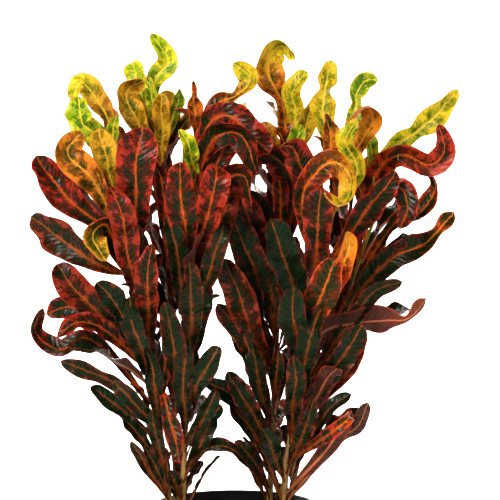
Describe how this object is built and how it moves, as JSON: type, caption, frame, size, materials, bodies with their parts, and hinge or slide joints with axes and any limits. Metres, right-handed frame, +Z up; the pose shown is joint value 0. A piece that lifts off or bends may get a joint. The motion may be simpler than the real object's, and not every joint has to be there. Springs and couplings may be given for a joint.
{
  "type": "potted croton",
  "caption": "Croton house plant: leafy stems of long, twisted red, green and yellow leaves, rooted in a full round black nursery pot.",
  "frame": {"origin": "centre of the pot's flat underside, on the surface that it stands on", "axes": "+Z up, -Y towards the side that the picture shows, +X to the right in the picture"},
  "size_m": [0.5495, 0.3003, 0.8024],
  "materials": {
    "pot": "black moulded nursery plastic, satin, finely textured",
    "soil": "dark bark and peat compost with white grains",
    "foliage": "waxy leaves, dark green to crimson with orange midribs, lime and yellow at the tips; tan woody stems"
  },
  "bodies": {
    "root": {"pot": "pot", "soil": "soil", "leafy_stem_left_outer": "foliage", "leafy_stem_left_rear": "foliage", "leafy_stem_left_inner": "foliage", "leafy_stem_right_inner": "foliage", "leafy_stem_right_front": "foliage", "leafy_stem_right_outer": "foliage"}
  },
  "joints": []
}
